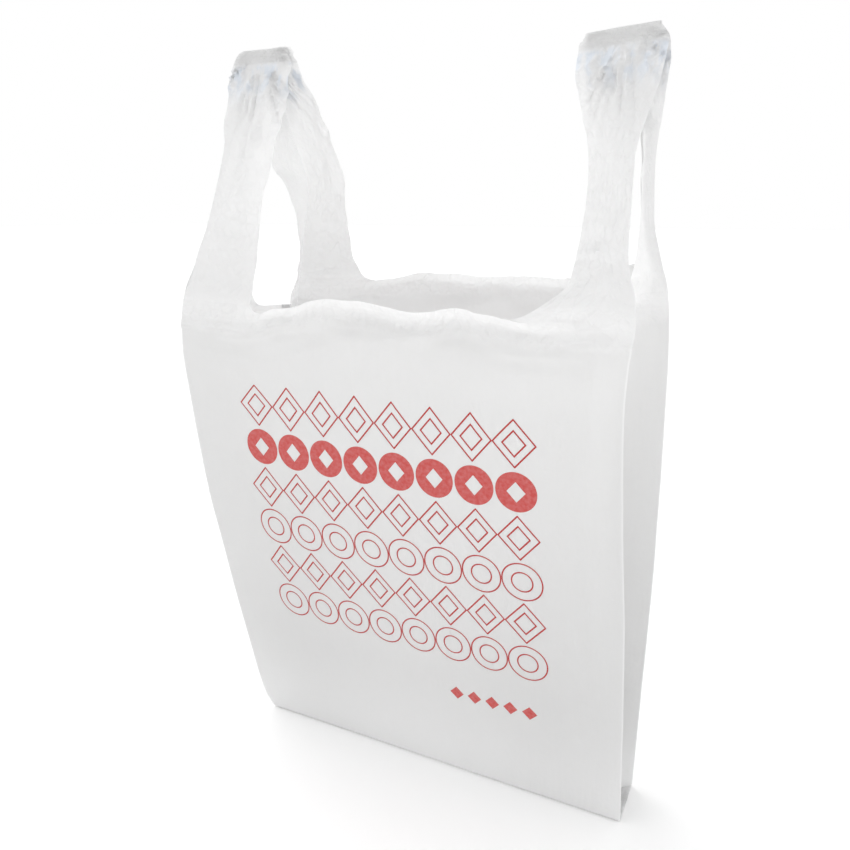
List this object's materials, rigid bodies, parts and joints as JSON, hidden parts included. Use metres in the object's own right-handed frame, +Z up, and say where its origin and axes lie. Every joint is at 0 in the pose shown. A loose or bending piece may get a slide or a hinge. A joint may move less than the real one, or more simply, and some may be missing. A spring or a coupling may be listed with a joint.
{
  "type": "plastic carrier bag",
  "caption": "White film vest carrier bag standing open, with side gussets, a U-cut mouth, welded handles and a red printed front.",
  "frame": {"origin": "on the floor under the middle of the opened base", "axes": "+Z up, +X to the right as seen from the printed front, -Y out of the printed front"},
  "size_m": [0.293, 0.1282, 0.47],
  "materials": {
    "white_film": "thin translucent white film with a soft sheen, printed in red on the front"
  },
  "bodies": {
    "root": {"film_bag": "white_film"}
  },
  "joints": []
}
